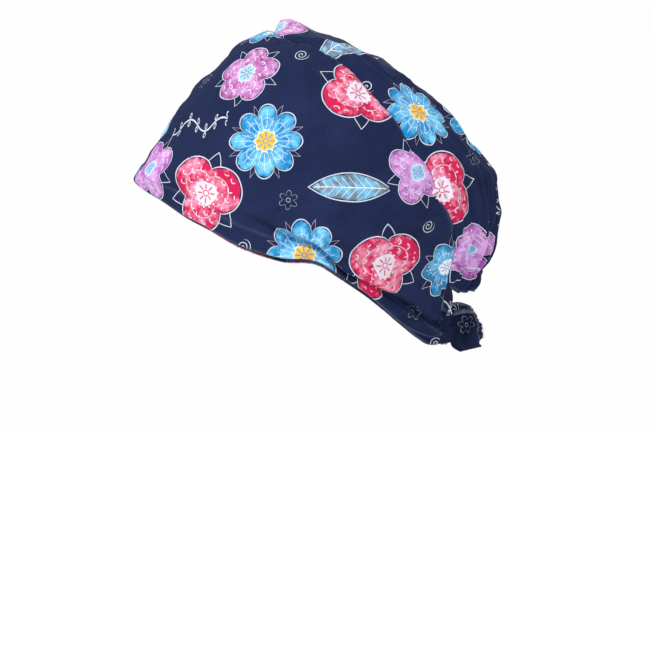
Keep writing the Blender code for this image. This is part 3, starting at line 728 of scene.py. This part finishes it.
def print_corners(points, faces, motifs):
    """For each face corner its place in its own motif's circle, and that motif's numbers.

    A face belongs to the motif whose centre is nearest, counted in radii. The offset from the
    centre is laid flat in the motif's plane and keeps its true length.
    """
    centres, kinds, one, two = motifs
    radii = np.array([row[1] for row in PAINTS])[kinds]
    flat = points.reshape(-1, 3)
    middle = flat[faces].mean(axis=1)
    apart = np.linalg.norm(middle[:, None] - centres[None], axis=-1) / radii[None]
    owner = apart.argmin(axis=1)
    offset = flat[faces] - centres[owner][:, None]
    x = (offset * one[owner][:, None]).sum(-1)
    y = (offset * two[owner][:, None]).sum(-1)
    true = np.linalg.norm(offset, axis=-1) / np.maximum(np.hypot(x, y), 1e-6)
    scale = np.minimum(true, 2.0) / radii[owner][:, None]
    numbers = np.array([row[1:] for row in FLOWERS], float)[kinds[owner]]
    numbers = np.repeat(numbers[:, None], 4, axis=1)
    numbers = np.concatenate([np.stack([x * scale, y * scale], -1), numbers], -1)
    vectors = {part[0]: numbers[..., 3 * i : 3 * i + 3] for i, part in enumerate(PRINT_PARTS)}
    colours = np.array([[(*linear(code), 1.0) for code in row[4:7]] for row in PAINTS])
    colours = colours[kinds[owner]]
    colours = np.repeat(colours[:, None], 4, axis=1)
    return vectors, dict(zip(PRINT_TINTS, np.moveaxis(colours, 2, 0)))


def set_inputs(tree, node, links):
    """Inputs of a node, by name or place: each takes a socket's link, a number or a tuple."""
    for name, link in links.items():
        if isinstance(link, bpy.types.NodeSocket):
            tree.links.new(link, node.inputs[name])
        elif link is not None:
            node.inputs[name].default_value = link


def add_node(tree, kind, settings, *links):
    """One node with its settings and inputs; None leaves an input as it is."""
    node = tree.nodes.new("ShaderNode" + kind)
    for name, value in settings.items():
        setattr(node, name, value)
    set_inputs(tree, node, dict(enumerate(links)))
    return node


def work_out(tree, known, steps):
    """Math nodes from a table: each row is a result, an operation and what it works on.

    What it works on is known by name, or is a number. A sum, a product or a maximum of more
    than two values is a chain of nodes.
    """
    known = dict(known)
    for row in steps.strip().splitlines():
        if row.startswith("#"):
            continue
        result, operation, *values = row.split()
        values = [known[value] if value in known else float(value) for value in values]
        settings = {"operation": operation}
        takes = 2 if operation in ("ADD", "MULTIPLY", "MAXIMUM") else len(values)
        last = add_node(tree, "Math", settings, *values[:takes]).outputs[0]
        for value in values[takes:]:
            last = add_node(tree, "Math", settings, last, value).outputs[0]
        known[result] = last
    return known


# How far each of a motif's marks and layers of paint shows. COMPARE is 1 where two values differ
# by less than the third.
PRINT_STEPS = """
xx MULTIPLY x x
rr MULTIPLY_ADD y y xx
bare_r SQRT rr
shake MULTIPLY_ADD wash 0.14 -0.07
r ADD bare_r shake
angle ARCTAN2 y x
half_petals MULTIPLY petals 0.5
petal_turn MULTIPLY angle half_petals
swinging COSINE petal_turn
swung ABSOLUTE swinging
shaped POWER swung sharp
rim MULTIPLY_ADD shaped swing base
# the painted shape, with a soft edge, where the motif has a fill
in_petals SUBTRACT rim r
# a leaf is a lens instead: its half width is 0.33 (1 - x x)
leaf_half MULTIPLY_ADD xx -0.33 0.33
y_size ABSOLUTE y
off_leaf SUBTRACT leaf_half y_size
in_leaf SUBTRACT off_leaf shake
leaf_more SUBTRACT in_leaf in_petals
inside MULTIPLY_ADD leaf_more veins in_petals
edge MULTIPLY_ADD inside 26 0.5
painted MINIMUM edge 1
paint MAXIMUM painted 0
body MULTIPLY paint fill
# the drawn line, a little off the paint, and a fainter one inside it
off_petals SUBTRACT rim bare_r
off_more SUBTRACT off_leaf off_petals
off_line MULTIPLY_ADD off_more veins off_petals
outer_line COMPARE off_line -0.035 0.0135
inner_rim MULTIPLY rim 0.66
inner_line COMPARE inner_rim bare_r 0.011
inner_where SUBTRACT fill veins
inner_kept MULTIPLY inner_line 0.65 inner_where
# sepals: drawn leaf tips that look out between the petals
cleft MULTIPLY_ADD swung -1 1
cleft_sharp POWER cleft 1.4
sepal_rim MULTIPLY_ADD cleft_sharp 0.52 0.46
sepal_line COMPARE sepal_rim bare_r 0.014
clear_of_petal LESS_THAN off_line -0.035
sepal_shown MULTIPLY sepal_line clear_of_petal sepals
# veins: a leaf's midrib and the slanting ribs off it
midrib LESS_THAN y_size 0.014
rib_lean MULTIPLY_ADD y_size -0.9 x
rib_turns MULTIPLY rib_lean 5.2
rib_cell PINGPONG rib_turns 0.5
side_rib LESS_THAN rib_cell 0.055
any_rib MAXIMUM midrib side_rib
rib_in GREATER_THAN inside 0.05
ribs_shown MULTIPLY any_rib rib_in veins
# the heart, its line and a ring of 14 dots round it
heart_rim MULTIPLY_ADD swung 0.05 heart
in_heart LESS_THAN bare_r heart_rim
heart_fill MULTIPLY in_heart body
heart_line COMPARE bare_r heart_rim 0.014
has_heart GREATER_THAN heart 0.05
dot_ring MULTIPLY heart 1.32
dot_out SUBTRACT bare_r dot_ring
dot_turns MULTIPLY angle 2.2282
dot_cell PINGPONG dot_turns 0.5
dot_side MULTIPLY dot_cell 0.12
dot_square MULTIPLY dot_out dot_out
dot_far MULTIPLY_ADD dot_side dot_side dot_square
dots LESS_THAN dot_far 0.0005
heart_marks MAXIMUM heart_line dots
heart_shown MULTIPLY heart_marks has_heart
# stamens: eight short spokes inside the heart, round a small eye
heart_share DIVIDE bare_r heart_rim
spoke_turns MULTIPLY angle 1.27324
spoke_cell PINGPONG spoke_turns 0.5
spoke_side MULTIPLY spoke_cell heart_share
spoke LESS_THAN spoke_side 0.085
spoke_out GREATER_THAN heart_share 0.36
spoke_end LESS_THAN heart_share 0.80
spoke_kept MULTIPLY spoke spoke_out spoke_end
eye COMPARE heart_share 0.24 0.055
stamens MAXIMUM spoke_kept eye
stamens_shown MULTIPLY stamens has_heart 0.8 fill
# strokes: rows of small open arcs over the petals
cell_x MULTIPLY x 4.4
cell_y MULTIPLY y 5
row FLOOR cell_y
shifted MULTIPLY_ADD row 0.5 cell_x
in_x FRACT shifted
in_y FRACT cell_y
dx SUBTRACT in_x 0.5
dy SUBTRACT in_y 0.62
dxx MULTIPLY dx dx
drr MULTIPLY_ADD dy dy dxx
dr SQRT drr
arc COMPARE dr 0.26 0.065
low_half LESS_THAN dy 0.02
past_heart GREATER_THAN bare_r 0.40
short_of_rim GREATER_THAN inside 0.10
arcs_shown MULTIPLY arc low_half past_heart short_of_rim strokes
# rays: three lines a petal, from the heart out to the rim
ray_turns MULTIPLY petal_turn 0.95493
ray_cell PINGPONG ray_turns 0.5
ray_near MULTIPLY ray_cell bare_r
ray LESS_THAN ray_near 0.026
ray_between GREATER_THAN inside 0.14
ray_out GREATER_THAN bare_r 0.34
rays_shown MULTIPLY ray ray_between ray_out rays
# swirl: one line winding out
wound MULTIPLY angle 0.159155
winding MULTIPLY_ADD bare_r 2.3 wound
swirl_part FRACT winding
swirl_line COMPARE swirl_part 0.5 0.11
swirl_in LESS_THAN bare_r 0.95
swirl_shown MULTIPLY swirl_line swirl_in swirl
# vine: a waving stem with leaves on both sides
stem_turn MULTIPLY x 5.4
stem_wave SINE stem_turn
stem_off MULTIPLY_ADD stem_wave -0.17 y
stem_size ABSOLUTE stem_off
stem LESS_THAN stem_size 0.022
leaf_turns MULTIPLY x 3.1
leaf_cell PINGPONG leaf_turns 0.5
leaf_x MULTIPLY leaf_cell 0.62
leaf_y SUBTRACT stem_size 0.115
leaf_xx MULTIPLY leaf_x leaf_x
leaf_far MULTIPLY_ADD leaf_y leaf_y leaf_xx
leaf_r SQRT leaf_far
leaf_line COMPARE leaf_r 0.062 0.017
stem_or_leaf MAXIMUM stem leaf_line
vine_x ABSOLUTE x
vine_in LESS_THAN vine_x 0.97
vine_shown MULTIPLY stem_or_leaf vine_in vine
# outline and inner line belong to all but swirl and vine
no_swirl SUBTRACT 1 swirl
plain SUBTRACT no_swirl vine
outline MAXIMUM outer_line inner_kept heart_shown
outline_shown MULTIPLY outline plain
flower_lines MAXIMUM outline_shown sepal_shown ribs_shown arcs_shown rays_shown
lines MAXIMUM flower_lines swirl_shown vine_shown
chalk MULTIPLY_ADD wash 0.5 0.55
white MULTIPLY lines chalk
# deeper paint toward the rim and in the wash's dark clouds
rim_share DIVIDE bare_r rim
rim_deep POWER rim_share 3
clouded MULTIPLY_ADD cloud 3.4 -1.65
mottled MULTIPLY_ADD wash 1.5 -0.75
with_dusk ADD clouded mottled dusk
deepness MULTIPLY_ADD rim_deep 0.38 with_dusk
"""
# The relief of the cloth in metres: crossed threads, a nap of loose fibre and crumples 10 mm
# wide
WEAVE_STEPS = """
warp_turn MULTIPLY u turns
weft_turn MULTIPLY v turns
warp SINE warp_turn
weft SINE weft_turn
threads MULTIPLY warp weft 0.000018
with_nap MULTIPLY_ADD nap 0.00006 threads
relief MULTIPLY_ADD crumple 0.0016 with_nap
"""
# threads lie 0.3 mm apart, too fine to show, so they are drawn three times as coarse
WEAVE_PITCH = 0.00095


def start_material(name):
    """A new material's node tree and its shader, which starts with the defaults."""
    material = bpy.data.materials.new(name)
    material.use_nodes = True
    return material, material.node_tree, material.node_tree.nodes["Principled BSDF"]


def place(name, data):
    """A new object in the scene, with its shape or light."""
    piece = bpy.data.objects.new(name, data)
    bpy.context.scene.collection.objects.link(piece)
    return piece


def poplin(name, ground, reverse=False):
    """Cotton poplin, plain woven and screen printed: matt, a faint grain, soft at its folds.

    The ground is dyed navy and the motifs are painted on it in washes with white line work.
    The reverse shows the print paler and greyer, as ink that hardly came through.
    """
    material, tree, shader = start_material(name)
    where = add_node(tree, "TexCoord", {}).outputs["Object"]
    known = {}
    for attribute, parts in PRINT_PARTS:
        read = add_node(tree, "Attribute", {"attribute_name": attribute})
        split = add_node(tree, "SeparateXYZ", {}, read.outputs["Vector"])
        known.update(zip(parts, split.outputs))
    pale, deep, heart = (
        add_node(tree, "Attribute", {"attribute_name": tint}).outputs["Color"]
        for tint in PRINT_TINTS
    )
    noises = {
        # scale in waves a metre, detail, roughness
        "cloud": (85.0, 3.0, 0.6),  # watercolour: broad clouds 12 mm wide
        "wash": (260.0, 2.0, 0.5),  # its grain at 4 mm, which also shakes the painted outline
        "patch": (24.0, 4.0, 0.55),  # the navy is faded a little in soft patches 40 mm wide
        "nap": (1400.0, 2.0, 0.6),  # dyed cotton is a little uneven from thread to thread
        "crumple": (95.0, 3.0, 0.55),
    }
    for part, numbers in noises.items():
        known[part] = add_node(tree, "TexNoise", {}, where, None, *numbers).outputs["Fac"]
    known = work_out(tree, known, PRINT_STEPS)
    faded = add_node(tree, "MapRange", {}, known["patch"], 0.35, 0.68, 0.0, 0.5).outputs[0]
    pale_ground = np.minimum(linear(ground) * 1.45 + 0.004, 1)
    mixes = (
        (faded, (*linear(ground), 1.0), (*pale_ground, 1.0)),
        (known["deepness"], pale, deep),
    )
    base, paint = (
        add_node(tree, "MixRGB", {"use_clamp": True}, *mix).outputs[0] for mix in mixes
    )
    heather = add_node(tree, "MapRange", {}, known["nap"], 0.3, 0.7, 0.72, 1.28).outputs[0]
    scale = {"operation": "SCALE"}
    colour = add_node(tree, "VectorMath", scale, base, None, None, heather).outputs[0]
    # how much paler each edge is: partly wear, partly painted highlight
    wear_and_highlight_fac = add_node(tree, "Attribute", {"attribute_name": "wear_and_highlight"}).outputs["Fac"]
    wear_and_highlight_mix = add_node(tree, "Math", {"operation": "MULTIPLY"}, wear_and_highlight_fac, 0.22).outputs[0]
    layers = [
        (known["body"], paint),
        (known["heart_fill"], heart),
        (known["stamens_shown"], deep),
        (known["white"], (*linear("#E7EBF5"), 1.0)),
    ]
    if reverse:
        layers.append((0.80, (*linear("#3A4563"), 1.0)))
    # hems and edges worn paler, with painted highlights along the front panel's edge at the top
    # seam and along the fold where its hem turns under
    layers.append((wear_and_highlight_mix, (*linear("#8C96B4"), 1.0)))
    for share, over in layers:
        colour = add_node(tree, "MixRGB", {}, share, colour, over).outputs[0]
    # the weave, warp and weft as crossed waves on the flat cloth
    cloth = add_node(tree, "UVMap", {"uv_map": "cloth_metres"}).outputs[0]
    split = add_node(tree, "SeparateXYZ", {}, cloth)
    known |= dict(zip("uv", split.outputs), turns=2 * math.pi / WEAVE_PITCH)
    relief = work_out(tree, known, WEAVE_STEPS)["relief"]
    bump = add_node(tree, "Bump", {})
    set_inputs(tree, bump, {"Strength": 0.8, "Distance": 1.0, "Height": relief})
    rough = add_node(tree, "MapRange", {}, known["nap"], 0.3, 0.7, 0.80, 0.94)
    links = {
        "Base Color": colour,
        "Normal": bump.outputs[0],
        "Roughness": rough.outputs[0],
        "Metallic": 0.0,
        "IOR": 1.5,
        "Specular IOR Level": 0.10,
        "Sheen Weight": 0.018,
        "Sheen Roughness": 0.55,
        "Sheen Tint": (*linear("#AEB9DC"), 1.0),
    }
    set_inputs(tree, shader, links)
    return material


def spun_thread(name, code):
    """Spun polyester thread, two-ply: smoother than the cloth, so it glints a little."""
    material, tree, shader = start_material(name)
    where = add_node(tree, "TexCoord", {}).outputs["Object"]
    ply = add_node(tree, "TexNoise", {}, where, None, 2600.0, 2.0, 0.5).outputs["Fac"]
    light, dark = linear(code) * 1.3, linear(code) * 0.8
    colour = add_node(tree, "MixRGB", {}, ply, (*dark, 1.0), (*light, 1.0)).outputs[0]
    bump = add_node(tree, "Bump", {})
    set_inputs(tree, bump, {"Strength": 0.5, "Distance": 0.0001, "Height": ply})
    links = {"Base Color": colour, "Normal": bump.outputs[0], "Roughness": 0.5}
    set_inputs(tree, shader, links)
    return material


def smooth_mesh(name, points, faces, *materials):
    """A mesh of points and faces with its materials, shaded smooth."""
    mesh = bpy.data.meshes.new(name)
    mesh.from_pydata(points.reshape(-1, 3).tolist(), [], faces)
    for material in materials:
        mesh.materials.append(material)
    mesh.shade_smooth()
    return mesh


def dress(node, points, motifs, front, back, wall, wear_and_highlight=0.0, thickness_side=-1.0):
    """A cloth in place of a node's solid: a sheet of points, walled by Solidify.

    It carries the print, its place on the flat cloth in metres, and how much paler its edges are,
    from wear and from painted highlight.
    """
    name = node + "_cloth"
    corners = points.reshape(-1, 3)
    index = np.arange(len(corners)).reshape(points.shape[:2])
    faces = np.stack([index[:-1, :-1], index[1:, :-1], index[1:, 1:], index[:-1, 1:]], -1)
    faces = faces.reshape(-1, 4)
    a, b, c = corners[faces[:, 0]], corners[faces[:, 1]], corners[faces[:, 2]]
    if (np.cross(b - a, c - b) * (a - MIDDLE)).sum() < 0:
        faces = faces[:, ::-1]
    mesh = smooth_mesh(name, points, faces.tolist(), front, back)
    metres = cloth_metres(points).reshape(-1, 2)
    uv = mesh.uv_layers.new(name="cloth_metres")
    uv.uv.foreach_set("vector", metres[faces].reshape(-1).astype(np.float32))
    vectors, tints = print_corners(points, faces, motifs)
    layers = (
        ("FLOAT_VECTOR", "CORNER", "vector", vectors),
        ("FLOAT_COLOR", "CORNER", "color", tints),
        ("FLOAT", "POINT", "value", {"wear_and_highlight": np.broadcast_to(wear_and_highlight, points.shape[:2])}),
    )
    for kind, domain, part, named in layers:
        for label, values in named.items():
            layer = mesh.attributes.new(label, kind, domain)
            layer.data.foreach_set(part, values.reshape(-1).astype(np.float32))
    piece = place(name, mesh)
    solid = piece.modifiers.new("wall", "SOLIDIFY")
    solid.thickness = wall
    solid.offset = thickness_side
    solid.use_even_offset = False
    solid.material_offset = 1 if back is not front else 0
    solid.material_offset_rim = 0
    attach(piece, "root")
    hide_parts(node)
    return piece


def spindles(name, middle, forward, out, length, radius, material):
    """Many short threads in one mesh: each a spindle about its middle, pointing forward.

    A spindle's ring at share s along it has radius times the sine of pi s.
    """
    across = unit(np.cross(forward, out))
    rings, sides = 5, 6
    share = np.linspace(0.04, 0.96, rings)
    turn = np.linspace(0, 2 * math.pi, sides, endpoint=False)
    wide = radius * np.sin(math.pi * share)
    length = np.broadcast_to(length, (len(middle),))[:, None, None, None]
    ring = (
        middle[:, None, None]
        + forward[:, None, None] * (share - 0.5)[None, :, None, None] * length
        + across[:, None, None] * (wide[:, None] * np.cos(turn))[None, ..., None]
        + out[:, None, None] * (wide[:, None] * np.sin(turn) + radius * 0.4)[None, ..., None]
    )
    corners = np.arange(len(middle) * rings * sides).reshape(-1, rings, sides)
    faces = []
    for local in corners:
        around = np.roll(local, -1, axis=1)
        quads = np.stack([local[:-1], around[:-1], around[1:], local[1:]], -1)
        faces += [*quads.reshape(-1, 4).tolist(), local[0, ::-1].tolist(), local[-1].tolist()]
    piece = place(name, smooth_mesh(name, ring, faces, material))
    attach(piece, "root")
    return piece


def stitches(name, points, height, pitch, length, material):
    """A row of stitches at a length up every rib of a sheet, each sunk into the cloth."""
    up = lengths_along(points)
    path, normals = (
        np.array([at_lengths(rib, run, height) for rib, run in zip(sheet, up)])
        for sheet in (points, normals_of(points))
    )
    run = lengths_along(path)
    at = np.arange(pitch, run[-1] - pitch, pitch)
    middle = at_lengths(path, run, at)
    forward = unit(at_lengths(path, run, at + pitch / 3) - middle)
    out = unit(at_lengths(normals, run, at))
    return spindles(name, middle, forward, out, length, STITCH_RADIUS, material)


def frayed(name, points, material, seed, count):
    """Loose threads out of a sheet's cut edge, its last column: each leans its own way."""
    draw = np.random.default_rng(seed)
    rows = draw.integers(ROLL_ROWS - 1, len(points) - 1, count)
    edge = points[rows, -1]
    forward = unit(edge - points[rows, -3])
    forward = unit(forward + draw.normal(0, 0.6, (count, 3)))
    length = draw.uniform(0.0007, 0.0022, count)
    out = unit(np.cross(forward, (0.1, 0.2, 1.0)))
    middle = edge + forward * length[:, None] * 0.4
    return spindles(name, middle, forward, out, length, STITCH_RADIUS / 2, material)


def make_cap():
    """Every cloth piece of the cap, each in place of its solid."""
    printed = poplin("printed_cotton_poplin", "#1A2446")
    # painted shade: the same poplin on a darker navy ground for the ties, knot and tie ends, which
    # lie in the shadow behind the crown and the panel's end
    printed_painted_shade = poplin("printed_cotton_poplin_painted_shade", "#18203D")
    reverse = poplin("cotton_poplin_reverse", "#27355F", reverse=True)
    thread = spun_thread("navy_polyester_thread", "#27345F")
    loose = spun_thread("loose_cotton_thread", "#8C8FB8")

    front = front_cloth(ALONG, rows=116)
    up = lengths_along(front)
    turned, turning = turned_under(ALONG)
    edge = bell(up, 0, 0.0011) + 0.35 * bell(up, HEM_STITCHES, 0.0012)
    # painted highlight: paler along the fold where the hem turns under before the knot, for the
    # fold's lit edge
    edge = edge + 1.4 * turning * bell(up, turned, 0.0007)
    # painted highlight: paler along the panel's edge at the top seam, for its lit ridge
    edge = edge + 0.55 * bell(up[:, -1:] - up, 0.0010, 0.0009)
    motifs = lay_motifs(front, (LARGE, SMALL), seed=21, bare_ends=36)
    panel = dress("front_panel", front, motifs, printed, reverse, CLOTH, edge)

    crown = crown_cloth(ALONG, rows=104, tuck_rows=4)
    up = lengths_along(crown)
    edge = 0.5 * bell(up[:, -1:] - up, 0, 0.0016)
    motifs = lay_motifs(crown, (LARGE, SMALL), seed=38)
    top = dress("crown_panel", crown, motifs, printed, reverse, CLOTH, edge)

    # the casing is the crown's own cloth turned up, so the crown's motifs run on over it
    casing = casing_cloth(ALONG, rows=26, meet=crown[:, -1])
    up = lengths_along(casing)
    edge = bell(up[:, -1:] - up, 0, 0.0013)
    hem = dress("elastic_casing", casing, motifs, printed, reverse, CASING_CLOTH, edge)

    for node, side in (("tie_left", 1), ("tie_right", -1)):
        points = tie_cloth(front, side, rows=26, across=96)
        motifs = lay_motifs(points, (LINES_ONLY,), seed=41)
        dress(node, points, motifs, printed_painted_shade, reverse, TIE_CLOTH)
    points = knot_cloth(around=144, rows=96)
    motifs = lay_motifs(points, (SMALL,), seed=43)
    # the knot and tie ends take the painted-shade poplin on both faces
    dark = printed_painted_shade, printed_painted_shade
    knot = dress("knot", points, motifs, *dark, LOOSE_CLOTH)
    for node, side in (("tie_end_left", 1), ("tie_end_right", -1)):
        points = tie_end_cloth(side, rows=44, columns=30)
        # worn paler at the cut edge, and paler all along the rolled top
        edge = np.tile(bell(np.linspace(0, 1, points.shape[1]), 1, 0.03), (len(points), 1))
        edge[:ROLL_ROWS] += 1.8
        motifs = lay_motifs(points, (SMALL,), seed=47 + side)
        end = dress(node, points, motifs, *dark, LOOSE_CLOTH, edge, thickness_side=0.0)
        fray = frayed(node + "_frayed_edge", points, loose, seed=51 + side, count=44)

    seams = (
        # name, sheet, how far up its ribs, pitch, length of a stitch
        ("head_edge_stitching", front, HEM_STITCHES, 0.0032, 0.0024),
        ("elastic_stitching", casing, 0.0012, 0.0028, 0.0021),
        ("casing_edge_stitching", casing[:, ::-1], 0.0024, 0.0028, 0.0021),
    )
    edge_row, elastic_row, casing_row = (stitches(*seam, thread) for seam in seams)


def set_stage():
    """A plain pale floor well below the cap, a pale surround and soft studio lights."""
    radius, corners, height = 9, 96, -0.42
    turn = np.linspace(0, 2 * math.pi, corners, endpoint=False)
    rim = np.stack([radius * np.cos(turn), radius * np.sin(turn), height + 0 * turn], -1)
    material, tree, shader = start_material("pale_studio_paper")
    set_inputs(tree, shader, {"Base Color": (*linear("#FAFAF9"), 1.0), "Roughness": 0.9})
    mesh = smooth_mesh("studio_floor", rim, [tuple(range(corners))], material)
    place("studio_floor", mesh)
    world = bpy.data.worlds.new("studio")
    bpy.context.scene.world = world
    world.use_nodes = True
    tree = world.node_tree
    seen = add_node(tree, "LightPath", {}).outputs["Is Camera Ray"]
    strength = add_node(tree, "MapRange", {}, seen, 0.0, 1.0, 0.36, 1.0).outputs[0]
    links = {"Color": (*linear("#FEFEFE"), 1.0), "Strength": strength}
    set_inputs(tree, tree.nodes["Background"], links)
    lights = (
        # name, where it comes from, spread in degrees, strength
        ("key", (0.55, -0.46, 0.70), 9, 2.7),
        ("fill", (0.70, 0.62, 0.25), 60, 0.60),
        ("back", (-0.70, 0.25, 0.55), 40, 0.9),
    )
    for name, source, spread, strength in lights:
        lamp = bpy.data.lights.new(name, "SUN")
        lamp.angle = math.radians(spread)
        lamp.energy = strength
        holder = place(name, lamp)
        holder.rotation_euler = Vector(source).to_track_quat("Z", "Y").to_euler()


def set_camera():
    """The photograph's view: from the wearer's left, level, through a long lens."""
    camera = bpy.data.cameras.new("camera")
    camera.sensor_width = 36.0
    distance = 2.2
    frame_width = 0.455  # what the picture spans in the plane of symmetry
    camera.lens = camera.sensor_width * distance / frame_width
    camera.clip_start = 0.05
    holder = place("camera", camera)
    holder.location = (distance, 0.0245, -0.0434)
    holder.rotation_euler = (math.pi / 2, 0, math.pi / 2)
    bpy.context.scene.camera = holder
    bpy.context.scene.view_settings.view_transform = "Standard"


make_cap()
set_stage()
set_camera()
